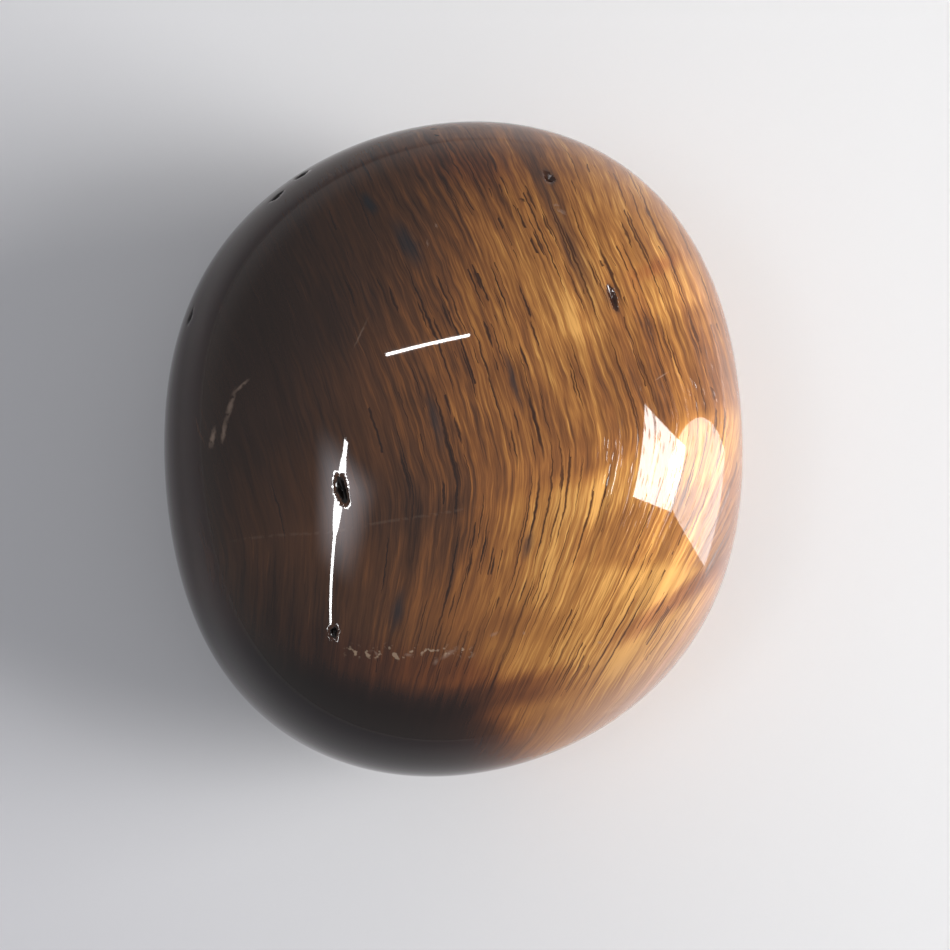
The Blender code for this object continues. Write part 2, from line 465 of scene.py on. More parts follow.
# The silk's gloss is wide across the fibres. The bands and fibres face different ways along the stone.
SILK_FLATTENING = (1.0, 0.45, 1.0)
BAND_TURN = -0.35
FIBRE_TURN = 0.5
LEAN_OVER_KINK = (-1.0, 1.0)
LEAN_CHANGE = -0.6
LEAN_START = 0.3

# On its gold side the polish has tiny breaks along the fibres
BREAKS_ACROSS = (8.0, 11.0)
SPECK_SHARE = 0.35
LINE_SHARE = 0.6
BREAK_DEPTH = 0.02 * MM
BREAK_STRENGTH = 0.5

# The floor: half its side, how far it is under the stone, and its greys by reach from a spot on the window's
# side, a painted pool of light that dims away from it and turns a lighter grey far off
FLOOR_HALF = 0.6
FLOOR_DROP = -0.02 * MM
PAINTED_LIGHT_CENTRE = (0.15, 0.07, 0.0)
PAINTED_LIGHT_GREY = (0.93, 0.93, 0.93)
PAINTED_FALLOFF_GREY = (0.56, 0.56, 0.60)
FAR_GREY = (0.85, 0.85, 0.86)
DIM_REACH = (0.13, 0.25)
FAR_REACH = (0.3, 0.5)

# The room's glow by direction: dim overhead, lighter near the horizon and lightest at its back
OVERHEAD = (0.33, 0.335, 0.35)
HORIZON_FRONT = (0.38, 0.385, 0.395)
HORIZON_BACK = (0.6, 0.6, 0.62)
HORIZON_RISE = (0.35, 0.0)
HORIZON_TURN = (0.1, 1.0)

# A soft glow beside the slim light, on a ceiling one unit up: how far left and back it starts, and how
# fast it runs left and forwards. The least rise keeps that ceiling from running on for ever.
HALO_COLOUR = (4.0, 4.0, 4.3)
HALO_START_LEFT = 0.412
HALO_START_BACK = 0.121
HALO_LEFTWARDS = 0.348
HALO_FORWARDS = 0.938
HALO_LINE = (0.02, 0.2, 1.0)
HALO_FROM = (0.0, 0.09)
HALO_TO = (0.55, 0.1)
HALO_RISE = (0.0, 0.1)
LEAST_RISE = 0.05

# Window lights as the stone sees them, in degrees: azimuth and elevation of the middle, how wide and how
# high they look, and roll; then radiance and colour
WHITE = (1.0, 1.0, 1.0)
WINDOW_DISTANCE = 0.6
WINDOW_LIGHTS = {
    "window_high": (-0.5, 43.5, 11.0, 17.5, -14.0, 18.0, WHITE),
    "window_low": (-7.0, 9.0, 22.0, 65.0, -11.0, 6.5, (0.98, 0.98, 1.0)),
    "daylight": (-2.0, 22.0, 36.0, 24.0, 0.0, 10.5, (1.0, 0.98, 0.95)),
}

# Slim white lights on the ceiling, in metres: both ends in the plan and the width; then radiance
CEILING_HEIGHT = 0.8
SLIM_LIGHTS = {
    "slim_left": ((-0.326, 0.093), (-0.656, -0.795), 0.013, 40.0),
    "slim_left_near": ((-0.331, 0.080), (-0.404, -0.117), 0.038, 25.0),
    "slim_back": ((-0.2, 0.233), (-0.010, 0.255), 0.006, 60.0),
}

# Lights that are oval, that only show in the polish, and that never show in it
OVAL_LIGHTS = ("window_low", "slim_left_near")
MIRRORED_ONLY = ("window_high", "slim_left", "slim_left_near", "slim_back")
UNMIRRORED = ("daylight",)

# The camera looks almost straight down. Its width of view at the stone's middle is in real size, and
# the stone stands a little left of and above the picture's middle.
CAMERA_DISTANCE = 180.0 * MM
CAMERA_AZIMUTH = -90.0
CAMERA_ELEVATION = 86.0
CAMERA_CLIP_START = 10.0 * MM
VIEW_WIDTH = 58.2 * MM
SENSOR_WIDTH_MM = 36.0
STONE_LEFT = 1.49 * MM
STONE_UP = 1.55 * MM


def outline_radius(azimuth):
    """The outline's radius in a direction seen from above: the mean, its oval and its squareness."""
    oval = OVAL_STRETCH * np.cos(2.0 * (azimuth - OVAL_DIRECTION))
    square = SQUARENESS * np.cos(4.0 * (azimuth - SQUARE_DIRECTION))
    return MEAN_RADIUS + oval + square


def girdle_climb(x, y):
    """How far the girdle's lean lifts the surface at x, y, in proportion to the reach from the middle."""
    azimuth = np.arctan2(y, x)
    reach = np.hypot(x, y) / outline_radius(azimuth)
    return GIRDLE_LEAN * reach * np.cos(azimuth - LEAN_DIRECTION)


def swell_height(x, y, swells):
    """The sum of the low round swells at x, y, each a bell curve of its own reach and height."""
    return sum(
        height * np.exp(-((x - centre_x) ** 2 + (y - centre_y) ** 2) / reach**2)
        for centre_x, centre_y, reach, height in swells
    )


def smooth_stone(directions):
    """The stone's surface before pits, for unit vectors, as arrays.

    The azimuth picks the outline's radius and the tilt picks the section, a superellipse: the share of
    the radius is cos(tilt) and the share of the height is sin(tilt), each to the power two over fullness.
    """
    azimuth = np.arctan2(directions[:, 1], directions[:, 0])
    rise = directions[:, 2]
    level = np.hypot(directions[:, 0], directions[:, 1])
    fullness = np.where(rise > 0.0, CROWN_FULLNESS, BELLY_FULLNESS)
    radius = outline_radius(azimuth) * level ** (2.0 / fullness)
    fill = np.abs(rise) ** (2.0 / fullness)
    x = radius * np.cos(azimuth)
    y = radius * np.sin(azimuth)
    climb = girdle_climb(x, y) * (1.0 - fill)
    crown = fill * (CROWN_RISE + swell_height(x, y, CROWN_SWELLS)) + climb
    belly = -fill * (BELLY_DEPTH + swell_height(x, y, BELLY_SWELLS)) + climb
    z = np.where(rise > 0.0, crown, belly) + GIRDLE_HEIGHT
    return np.stack([x, y, z], axis=1)


def direction_over(x, y, side):
    """The unit vector whose surface point lies over x, y, on the crown (side 1) or the belly (side -1)."""
    azimuth = np.arctan2(y, x)
    fullness = CROWN_FULLNESS if side > 0 else BELLY_FULLNESS
    level = (np.hypot(x, y) / outline_radius(azimuth)) ** (fullness / 2.0)
    return np.array([level * np.cos(azimuth), level * np.sin(azimuth), side * np.sqrt(1.0 - level**2)])


def box_skin(across, upright):
    """Six square grids that share their borders: points of a box's skin from -1 to 1, and their quads."""
    counts = np.array([across, across, upright])
    corner_steps = ((0, 0), (1, 0), (1, 1), (0, 1))
    sides = []
    for axis in range(3):
        first = (axis + 1) % 3
        second = (axis + 2) % 3
        row, column = np.meshgrid(np.arange(counts[first]), np.arange(counts[second]), indexing="ij")
        near = np.zeros((row.size, 4, 3), dtype=int)
        for corner, (row_step, column_step) in enumerate(corner_steps):
            near[:, corner, first] = row.ravel() + row_step
            near[:, corner, second] = column.ravel() + column_step
        far = near.copy()
        far[:, :, axis] = counts[axis]
        sides += [near[:, ::-1], far]
    lattice, quads = np.unique(np.concatenate(sides).reshape(-1, 3), axis=0, return_inverse=True)
    return lattice / counts * 2.0 - 1.0, quads.reshape(-1, 4)


def unit(directions):
    """Vectors in rows, each brought to length 1."""
    return directions / np.linalg.norm(directions, axis=1, keepdims=True)


def surface_frame(x, y, side):
    """The surface point over x, y, and the outward normal there, from three nearby directions."""
    places = ((x, y), (x + SLOPE_STEP, y), (x, y + SLOPE_STEP))
    point, along_x, along_y = smooth_stone(np.array([direction_over(*place, side) for place in places]))
    normal = np.cross(along_x - point, along_y - point) * side
    return point, normal / np.linalg.norm(normal)


def pit_depth(points, x, y, length, width, direction, side):
    """How far into one pit each point is, and the way inwards: 1 over its middle, falling to 0 at its rim.

    The distance is measured as an ellipse along and across the pit, so 1 is its rim, and three and five
    shallow lobes round that ellipse make it ragged.
    """
    centre, normal = surface_frame(x, y, side)
    along = np.array([np.cos(direction), np.sin(direction), 0.0])
    along -= normal * along.dot(normal)
    along /= np.linalg.norm(along)
    across = np.cross(normal, along)
    offset = points - centre
    run = offset @ along / (length / 2.0)
    side_run = offset @ across / (width / 2.0)
    turn = np.arctan2(side_run, run)
    three_lobes = THREE_LOBES * np.sin(3.0 * turn + THREE_LOBES_TURN * x)
    five_lobes = FIVE_LOBES * np.sin(5.0 * turn + FIVE_LOBES_TURN * y)
    ragged = RIM_INSET + three_lobes + five_lobes
    inside = np.clip(1.0 - np.hypot(run, side_run) * ragged, 0.0, 1.0) ** PIT_BOWL
    near = np.abs(offset @ normal) < PIT_LAYER
    return inside * near, normal


def make_stone():
    """The whole stone: grids wrapped on its form, drawn in towards the pits, pressed there, and worn flat.

    The tangent evens out the cells as the box's skin is drawn onto a sphere. The draw towards a pit is a
    bell curve of the distance from it. How far into a pit each point lies is kept as an attribute.
    """
    skin, quads = box_skin(CELLS_ACROSS, CELLS_UPRIGHT)
    directions = unit(np.tan(skin * pi / 4.0))
    pits = [(pit, 1) for pit in CROWN_PITS] + [(pit, -1) for pit in BELLY_PITS]
    for (x, y, *_), side in pits:
        offset = directions - direction_over(x, y, side)
        pull = PIT_PULL * np.exp(-np.sum(offset**2, axis=1) / PIT_PULL_REACH**2)
        directions = unit(directions - offset * pull[:, None])
    points = smooth_stone(directions)
    hollow = np.zeros(len(points))
    for (x, y, length, width, depth, direction), side in pits:
        inside, normal = pit_depth(points, x, y, length, width, direction, side)
        points = points - np.outer(depth * inside, normal)
        hollow = np.maximum(hollow, inside)
    points[:, 2] = np.maximum(points[:, 2], 0.0)
    mesh = bpy.data.meshes.new("stone_skin")
    mesh.from_pydata(points.tolist(), [], quads.tolist())
    mesh.shade_smooth()
    mesh.attributes.new("hollow", "FLOAT", "POINT").data.foreach_set("value", hollow)
    stone = bpy.data.objects.new("stone_polished", mesh)
    bpy.context.scene.collection.objects.link(stone)
    return stone


class Level:
    """A number that nodes work out at each point of a surface. It adds and multiplies as numbers do."""

    def __init__(self, socket):
        self.socket = socket

    def __add__(self, other):
        return calc("ADD", self, other)

    def __radd__(self, other):
        return calc("ADD", self, other)

    def __sub__(self, other):
        return calc("SUBTRACT", self, other)

    def __rsub__(self, other):
        return calc("SUBTRACT", other, self)

    def __mul__(self, other):
        return calc("MULTIPLY", self, other)

    def __rmul__(self, other):
        return calc("MULTIPLY", self, other)


def tree_of(*parts):
    """The node tree of the first level among parts that may be plain numbers too."""
    return next(part.socket.id_data for part in parts if isinstance(part, Level))


def add_node(tree, kind, inputs=None, **settings):
    """A node with its settings, and each named or numbered input set to a value or linked to a level."""
    node = tree.nodes.new(kind)
    for name, value in settings.items():
        setattr(node, name, value)
    for name, value in (inputs or {}).items():
        if isinstance(value, Level):
            tree.links.new(value.socket, node.inputs[name])
        else:
            node.inputs[name].default_value = value
    return node


def calc(operation, *terms, clamp=False):
    """The result of a maths operation on numbers or levels."""
    inputs = dict(enumerate(terms))
    return Level(
        add_node(tree_of(*terms), "ShaderNodeMath", inputs, operation=operation, use_clamp=clamp).outputs[0]
    )


def largest(*levels):
    """The largest of several levels."""
    result = levels[0]
    for level in levels[1:]:
        result = calc("MAXIMUM", result, level)
    return result


def fade(level, start, end):
    """0 up to start and 1 past end, smooth between. Start may be above end."""
    inputs = {"Value": level, "From Min": start, "From Max": end}
    node = add_node(tree_of(level), "ShaderNodeMapRange", inputs, interpolation_type="SMOOTHSTEP", clamp=True)
    return Level(node.outputs[0])


def stripe(level, centre, half_width, softness):
    """1 along a line where the level is centre, falling to 0 half a width away."""
    distance = calc("ABSOLUTE", level - centre)
    return fade(distance, half_width, half_width * (1.0 - softness))


def vector(x, y, z):
    """Three levels or numbers as one vector."""
    return Level(add_node(tree_of(x, y, z), "ShaderNodeCombineXYZ", {0: x, 1: y, 2: z}).outputs[0])


def split(place):
    """A vector's three parts."""
    return map(Level, add_node(tree_of(place), "ShaderNodeSeparateXYZ", {0: place}).outputs)


def vector_maths(operation, first, second):
    """A node for an operation on vectors or triples."""
    inputs = {0: first, 1: second}
    return add_node(tree_of(first, second), "ShaderNodeVectorMath", inputs, operation=operation)


def join(operation, first, second=(0.0, 0.0, 0.0)):
    """The vector that an operation on vectors or triples gives."""
    return Level(vector_maths(operation, first, second).outputs[0])


def measure(operation, first, second=(0.0, 0.0, 0.0)):
    """The number that an operation on vectors or triples gives, such as a length or a dot product."""
    return Level(vector_maths(operation, first, second).outputs["Value"])


def grain(place, detail, roughness=0.5):
    """Noise from 0 to 1 on a vector that is already stretched to the grain's scale."""
    inputs = {"Vector": place, "Scale": 1.0, "Detail": detail, "Roughness": roughness}
    return Level(add_node(tree_of(place), "ShaderNodeTexNoise", inputs).outputs[0])


def swing(noise, amount):
    """Noise from 0 to 1, made to swing by half an amount either way."""
    return (noise - 0.5) * amount


def mark(place, centre, half_sizes, direction=0.0, edge=0.35):
    """An oval mark: 1 inside, falling to 0 at its rim, turned by a direction seen from above.

    The offset from its centre is measured along it, across it and upright, each in half sizes, and the
    length of those three is 1 at the rim.
    """
    half_length, half_width, half_height = half_sizes
    offset = join("SUBTRACT", place, centre)
    turn_x, turn_y = cos(direction), sin(direction)
    along = measure("DOT_PRODUCT", offset, (turn_x / half_length, turn_y / half_length, 0.0))
    across = measure("DOT_PRODUCT", offset, (-turn_y / half_width, turn_x / half_width, 0.0))
    upright = measure("DOT_PRODUCT", offset, (0.0, 0.0, 1.0 / half_height))
    return fade(measure("LENGTH", vector(along, across, upright)), 1.0, edge)


def dice(first, second):
    """Three numbers from 0 to 1 that stay the same wherever the two levels do, and differ elsewhere."""
    thrown = add_node(tree_of(first), "ShaderNodeTexWhiteNoise", {"Vector": vector(first, second, 0.0)})
    return split(Level(thrown.outputs["Color"]))


def hairlines(across, along, lines, share):
    """Thin tapering lines along the fibres.

    The surface is cut in columns as wide as the spacing, and each column in lengths that start at a place
    of its own. A share of these cells holds one line each: its place across the cell and its width are by
    chance, and it narrows to nothing at the cell's ends, as the product of what is done and what is left.
    """
    column = across * (1.0 / lines.spacing) + lines.seed
    column_number = calc("FLOOR", column)
    start, _, _ = dice(column_number, column_number + lines.seed)
    run = along * (1.0 / lines.length) + start * START_SCATTER
    run_number = calc("FLOOR", run)
    place, girth, luck = dice(column_number, run_number)
    from_line = calc("ABSOLUTE", column - column_number - (place * PLACE_SPREAD + PLACE_LEAST))
    done = run - run_number
    reach = done * (1.0 - done) * (girth + GIRTH_LEAST) * (4.0 * lines.half_width / lines.spacing)
    return fade(from_line, reach, reach * LINE_CORE) * calc("LESS_THAN", luck, share)


def ramp(level, stops):
    """A colour ramp through (position, colour) stops."""
    node = add_node(tree_of(level), "ShaderNodeValToRGB", {0: level})
    band = node.color_ramp
    while len(band.elements) < len(stops):
        band.elements.new(1.0)
    for element, (position, colour) in zip(band.elements, stops):
        element.position = position
        element.color = (*colour, 1.0)
    return Level(node.outputs[0])


def tint(amount, first, second):
    """The first colour turned into the second by an amount."""
    tree = tree_of(amount)
    node = add_node(tree, "ShaderNodeMix", data_type="RGBA")
    sockets = {socket.identifier: socket for socket in node.inputs}
    for name, value in (("Factor_Float", amount), ("A_Color", first), ("B_Color", second)):
        if isinstance(value, Level):
            tree.links.new(value.socket, sockets[name])
        else:
            sockets[name].default_value = (*value, 1.0)
    return Level(next(socket for socket in node.outputs if socket.identifier == "Result_Color"))


class SilkPatternAndPaintedLight:
    """The stone's pattern with its painted sheen, light and shade, worked out in steps, in millimetres. Each
    step reads what the earlier ones set.

    Their order matters, because the renderer can hold only so many unfinished levels at once.
    """

    def __init__(self, tree):
        self.tree = tree
        corner = Level(add_node(tree, "ShaderNodeTexCoord").outputs["Object"])
        self.place = join("MULTIPLY", corner, (1.0 / MM,) * 3)
        self.x, self.y, self.z = split(self.place)
        self.facing = Level(add_node(tree, "ShaderNodeNewGeometry").outputs["Normal"])
        self.lay_fibres()
        self.grain_fibres()
        self.part_fibres()
        self.crack_and_smudge()
        self.band_fibres()
        self.light_silk()
        self.shade_zones()
        self.colour_silk()
        self.stain_silk()
        self.colour_cracks_and_paint_rim_light()
        self.mark_surface()
        self.paint_pit_shade()

    def lay_fibres(self):
        """Across: the place across the fibres, which bend at the kink line. Sink: the depth on the sides.

        The kink is rounded: above and below are the two halves of a square root that joins smoothly.
        """
        x = self.x
        self.wander = swing(grain(join("MULTIPLY", self.place, WANDER_SCALE), SMOOTH), WANDER)
        quiver = swing(grain(join("MULTIPLY", self.place, QUIVER_SCALE), SMOOTH), QUIVER)
        self.bend = self.y - KINK_SLOPE * x + KINK_LEVEL + self.wander
        spread = calc("SQRT", self.bend * self.bend + KINK_ROUNDING)
        above = (spread + self.bend) * 0.5
        below = (spread - self.bend) * 0.5
        self.sink = calc("MAXIMUM", SHOULDER_HEIGHT - self.z, 0.0)
        sweep = calc("MAXIMUM", x * SWEEP_PER_X + SWEEP_BELOW, SWEEP_LEAST)
        across = x + quiver + self.wander + LEAN_ABOVE * above + CURVE_ABOVE * above * above
        self.across = across + LEAN_BELOW * below + sweep * below * below + ACROSS_PER_DEPTH * self.sink

    def fibre_grain(self, scale, detail, roughness=0.5):
        """Grain drawn out along the fibres, by its scale across them, along them and upright."""
        across_scale, along_scale, upright_scale = scale
        stretched = vector(self.across * across_scale, self.y * along_scale, self.z * upright_scale)
        return grain(stretched, detail, roughness)

    def grain_fibres(self):
        """The fibres' grain, from the finest to broad ones, and the streaks that they make together."""
        self.fine = self.fibre_grain(FINE_SCALE, FRAYED, FINE_ROUGHNESS)
        self.middle = self.fibre_grain(MIDDLE_SCALE, SMOOTH)
        self.broad = self.fibre_grain(BROAD_SCALE, SMOOTH)
        self.patches = grain(join("MULTIPLY", self.place, PATCH_SCALE), SMOOTH)
        finer_streaks = swing(self.fine, FINE_STREAKS) + swing(self.middle, MIDDLE_STREAKS)
        self.streaks = finer_streaks + swing(self.broad, BROAD_STREAKS)

    def part_fibres(self):
        """Fine lines along the fibres: dark where they part, and light where one catches the light.

        Side and along are x and y carried on down the sides, and frayed is across with a fine jitter.
        """
        self.side = self.x + SIDE_PER_DEPTH * self.sink
        self.along = self.y + ALONG_PER_DEPTH * self.sink
        across_scale, along_scale = FRAY_SCALE
        jitter = grain(vector(self.across * across_scale, self.along * along_scale, self.z), SMOOTH)
        self.frayed = self.across + swing(jitter, FRAY)
        parted = fade(self.side, *PARTED_ACROSS)
        parted = parted * (PARTED_LEAST + PARTED_MORE * fade(self.patches, *PARTED_PATCHES))
        self.cracks = largest(
            hairlines(self.frayed, self.along, FINE_PARTINGS, parted) * FINE_DARK,
            hairlines(self.frayed, self.along, LONG_PARTINGS, parted * LONG_SHARE) * LONG_DARK,
            hairlines(self.frayed, self.along, SHORT_PARTINGS, parted * SHORT_SHARE) * SHORT_DARK,
        )
        lit_share = LIT_MORE * fade(self.side, *LIT_ACROSS) + LIT_LEAST
        self.lit_lines = hairlines(self.across, self.along, LIT_FIBRES, lit_share)

    def crack_and_smudge(self):
        """Long cracks, soft smudges and a grey column in places of their own among the fibres."""
        fibre_place = vector(self.frayed, self.y, self.z)
        feathered_x = self.x + swing(self.fine, AREA_FEATHER_X)
        feathered_y = self.y + swing(self.fine, AREA_FEATHER_Y)
        self.feathered_place = vector(feathered_x, feathered_y, self.z)
        for across, along, half_width, half_length in FIBRE_CRACKS:
            sizes = (half_width, half_length, INSIDE_REACH)
            self.cracks = largest(self.cracks, mark(fibre_place, (across, along, INSIDE_MIDDLE), sizes))
        self.smudges = 0.0
        for across, along, half_width, half_length in FIBRE_SMUDGES:
            sizes = (half_width * SMUDGE_WIDER, half_length * SMUDGE_LONGER, INSIDE_REACH)
            self.smudges = mark(fibre_place, (across, along, INSIDE_MIDDLE), sizes, edge=0.0) + self.smudges
        column_at = self.across + swing(self.middle, COLUMN_WAVE)
        self.column = stripe(column_at, *COLUMN_LINE) * fade(self.y, *COLUMN_START)

    def band_fibres(self):
        """How light the golden and brown bands are, partly painted sheen, and the place across them,
        feathered fibre by fibre.
        """
        self.feather = swing(self.fine, FINE_FEATHER) + swing(self.middle, MIDDLE_FEATHER)
        self.band_at = self.y - KINK_SLOPE * self.x + self.feather + self.wander * BAND_WANDER
        drop = BAND_DROP * fade(self.x, *BAND_DROP_LEFT) * fade(self.band_at, *BAND_DROP_BELOW)
        stops = [(0.5 + position / BANDS_SPAN, (share,) * 3) for position, share in BAND_AND_SHEEN_STOPS]
        # Band lightness: the stone's own banding together with painted sheen
        shades = ramp((self.band_at + drop) * (1.0 / BANDS_SPAN) + 0.5, stops)
        self.bands = Level(add_node(self.tree, "ShaderNodeSeparateColor", {0: shades}).outputs[0])

    def light_silk(self):
        """Glow: how light the silk is, by its side, bands, streaks, mottle, lit lines and lighter areas. The
        lighter golden right side is partly painted sheen.
        """
        x, y, side = self.x, self.y, self.side
        # Lighter to the right: partly the stone's own colour, partly painted sheen from the window on the
        # right
        gold_and_painted_sheen = fade(side, *GOLD_AND_SHEEN_ACROSS)
        banded = fade(x, *BANDED_ACROSS)
        self.calm = largest(fade(y, *CALM_FOOT), mark(self.place, *CALM_AREA))
        lively = fade(y, *LIVELY_UP) * fade(x, *LIVELY_FROM) * fade(x, *LIVELY_TO)
        lively = lively + LIVELY_SIDE_SHARE * fade(side, *LIVELY_SIDE)
        streaked = STREAKS_LEAST + STREAKS_MORE * fade(side, *STREAKED_ACROSS)
        streaked = streaked * (1.0 + LIVENING * lively) * (1.0 - CALMING * self.calm)
        across_scale, along_scale, upright_scale = MOTTLE_SCALE
        mottled_across = self.across * across_scale + MOTTLE_SHIFT
        mottle = grain(vector(mottled_across, self.along * along_scale, self.z * upright_scale), GRITTY)
        glow = GLOW_LEAST + GOLD_AND_SHEEN_GLOW * gold_and_painted_sheen + (self.bands - 0.5) * banded * BAND_AND_SHEEN_GLOW
        glow = glow + self.streaks * streaked
        glow = glow + swing(mottle, MOTTLE) * gold_and_painted_sheen - RIGHT_RIM_SHADE * fade(x, *RIGHT_RIM)
        glow = glow + self.lit_lines * LIT_GLOW
        for centre_x, centre_y, half_x, half_y, lighter in LIGHTER_AREAS:
            centre = (centre_x, centre_y, INSIDE_MIDDLE)
            glow = glow + mark(self.feathered_place, centre, (half_x, half_y, AREA_REACH), edge=0.0) * lighter
        self.glow = glow

    def shade_zones(self):
        """Zones of their own, which darken the silk: wedge, patch, vein, foot, low band and cracks."""
        x, y, band_at = self.x, self.y, self.band_at
        wedge = fade(band_at + WEDGE_SLOPE * x, *WEDGE_LOWER) * fade(band_at, *WEDGE_UPPER)
        wedge = wedge * fade(x, *WEDGE_ACROSS)
        patch = mark(self.place, *PATCH)
        vein_at = (y - VEIN_SLOPE * x + self.feather * EDGE_FEATHER) * VEIN_UPRIGHTNESS
        self.vein = stripe(vein_at, *VEIN_LINE) * fade(x, *VEIN_ACROSS)
        foot_edge = y + FOOT_LEVEL + FOOT_SLOPE * x - FOOT_CURVE * x * x
        self.foot_edge = foot_edge + FOOT_DROP * fade(x, *FOOT_DROP_ACROSS) + self.feather * FOOT_FEATHER
        foot_end = FOOT_END - FOOT_SOFTER * fade(x, *FOOT_SOFTER_ACROSS)
        foot = fade(self.foot_edge, FOOT_START, foot_end) * fade(x, *FOOT_TO)
        low_band_at = y - LOW_BAND_SLOPE * x + self.feather * EDGE_FEATHER
        low_band = stripe(low_band_at, *LOW_BAND_LINE)
        self.low_band = low_band * fade(x, *LOW_BAND_TO) * fade(x, *LOW_BAND_FROM)
        glow = self.glow - WEDGE_SHADE * wedge - PATCH_SHADE * patch
        glow = glow - VEIN_SHADE * self.vein - LOW_BAND_SHADE * self.low_band
        self.cracks = self.cracks * (1.0 - CALMING * self.calm)
        glow = glow - CRACK_SHADE * self.cracks - SMUDGE_SHADE * self.smudges - COLUMN_SHADE * self.column
        self.glow = calc("MULTIPLY", glow, 1.0 - FOOT_SHADE * foot, clamp=True)

    def colour_silk(self):
        """The silk's colour, from how light it is."""
        self.colour = ramp(self.glow, SILK_COLOURS)

    def stain_silk(self):
        """Rust-red stains, then the ashen column and smudges."""
        red_layer = fade(self.foot_edge, *RED_LAYER_UP)
        red_layer = red_layer * fade(self.x, *RED_LAYER_FROM) * fade(self.x, *RED_LAYER_TO)
        stain = mark(self.place, *STAIN)
        top_stain = mark(self.place, *TOP_STAIN)
        rusty = largest(
            RED_LAYER_RUST * red_layer,
            STAIN_RUST * stain,
            STAIN_RUST * top_stain,
            VEIN_RUST * self.vein,
            LOW_BAND_RUST * self.low_band,
        )
        self.colour = tint(rusty, self.colour, join("MULTIPLY", self.colour, RUST))
        ashen = largest(COLUMN_ASH * self.column, calc("MULTIPLY", self.smudges, SMUDGE_ASH, clamp=True))
        ashy = join("MULTIPLY", join("ADD", self.colour, ASH_LIFT), ASH_DARKEN)
        self.colour = tint(ashen, self.colour, ashy)

    def colour_cracks_and_paint_rim_light(self):
        """Cracks that turn from black to brown, browner with painted window light on the right, and painted
        light on the pale rim on the right: a reflection and light scattered through it from the window side.
        """
        # Painted light: the cracks turn browner on the lit right side
        crack_colour_with_painted_light = tint(fade(self.x, *CRACK_ACROSS), CRACK_BLACK, CRACK_LIT_BROWN)
        self.colour = tint(self.cracks, self.colour, crack_colour_with_painted_light)
        # Painted light on the right rim: a pale reflection and light scattered through it from the window
        # side
        painted_rim_light = fade(self.z, *PAINTED_RIM_LIGHT_TOP) * fade(self.z, *PAINTED_RIM_LIGHT_BOTTOM)
        painted_rim_light = painted_rim_light * fade(self.x + PAINTED_RIM_LIGHT_SLANT * self.y, *PAINTED_RIM_LIGHT_ACROSS)
        self.colour = tint(painted_rim_light * PAINTED_RIM_LIGHT_STRENGTH, self.colour, PAINTED_RIM_LIGHT_COLOUR)

    def mark_surface(self):
        """Small marks in the surface: dark flecks, pale bruises with some painted glints among them, a row of
        tiny chips and one healed line.
        """
        x, y = self.x, self.y
        worn = grain(join("MULTIPLY", self.place, WORN_SCALE), GRITTY)
        jitter = vector(swing(worn, MARK_RAGGEDNESS), swing(worn, MARK_RAGGEDNESS), 0.0)
        ragged_place = join("ADD", self.place, jitter)
        colour = self.colour
        for centre_x, centre_y, half_length, half_width, direction in DARK_FLECKS:
            centre = (centre_x, centre_y, SURFACE_MIDDLE)
            sizes = (half_length, half_width, SURFACE_REACH)
            colour = tint(mark(ragged_place, centre, sizes, radians(direction)), colour, FLECK_COLOUR)
        for centre_x, centre_y, half_length, half_width, direction in PALE_BRUISES_AND_GLINTS:
            centre = (centre_x, centre_y, SURFACE_MIDDLE)
            sizes = (half_length, half_width, SURFACE_REACH)
            # Pale bruises and scratches, and some painted glints
            bruise_and_glint = mark(ragged_place, centre, sizes, radians(direction), BRUISE_AND_GLINT_EDGE)
            colour = tint(bruise_and_glint * fade(worn, *BRUISE_AND_GLINT_WORN) * BRUISE_AND_GLINT_STRENGTH, colour, BRUISE_AND_GLINT_COLOUR)
        chip_row = stripe(y + swing(self.broad, CHIP_ROW_WAVE), *CHIP_ROW)
        chips = chip_row * fade(x, *CHIP_ROW_FROM) * fade(x, *CHIP_ROW_TO) * fade(worn, *CHIP_WORN)
        colour = tint(chips * CHIP_STRENGTH, colour, CHIP_COLOUR)
        healed = stripe(y - HEALED_SLOPE * x + self.wander * HEALED_WAVE, *HEALED_LINE)
        healed = healed * fade(x, *HEALED_FROM) * fade(x, *HEALED_TO)
        self.colour = tint(healed * fade(worn, *HEALED_WORN) * HEALED_STRENGTH, colour, HEALED_COLOUR)

    def paint_pit_shade(self):
        """Painted shade inside the pits, read from how far into a pit each point lies."""
        hollow = Level(add_node(self.tree, "ShaderNodeAttribute", attribute_name="hollow").outputs["Fac"])
        # Painted shade in the hollows, less dark on the lit right side
        pit_shade_colour = tint(fade(self.x, *PIT_ACROSS), PIT_SHADE_BLACK, PIT_SHADE_BROWN)
        self.colour = tint(fade(hollow, *PIT_EDGE), self.colour, pit_shade_colour)

    def silk_facing(self):
        """Which way the silk faces: light spreads across the fibres and is narrow along them.

        The bands face slightly different ways along the fibres, so they light up in turn as the stone is
        turned.
        """
        turn = swing(self.bands, BAND_TURN) + swing(self.middle, FIBRE_TURN)
        facing = join("ADD", join("MULTIPLY", self.facing, SILK_FLATTENING), vector(0.0, turn, 0.0))
        return join("NORMALIZE", facing)

    def across_fibres(self):
        """The direction across the fibres in the surface."""
        lean = fade(self.bend, *LEAN_OVER_KINK) * LEAN_CHANGE + LEAN_START
        return join("CROSS_PRODUCT", vector(lean, 1.0, 0.0), self.facing)

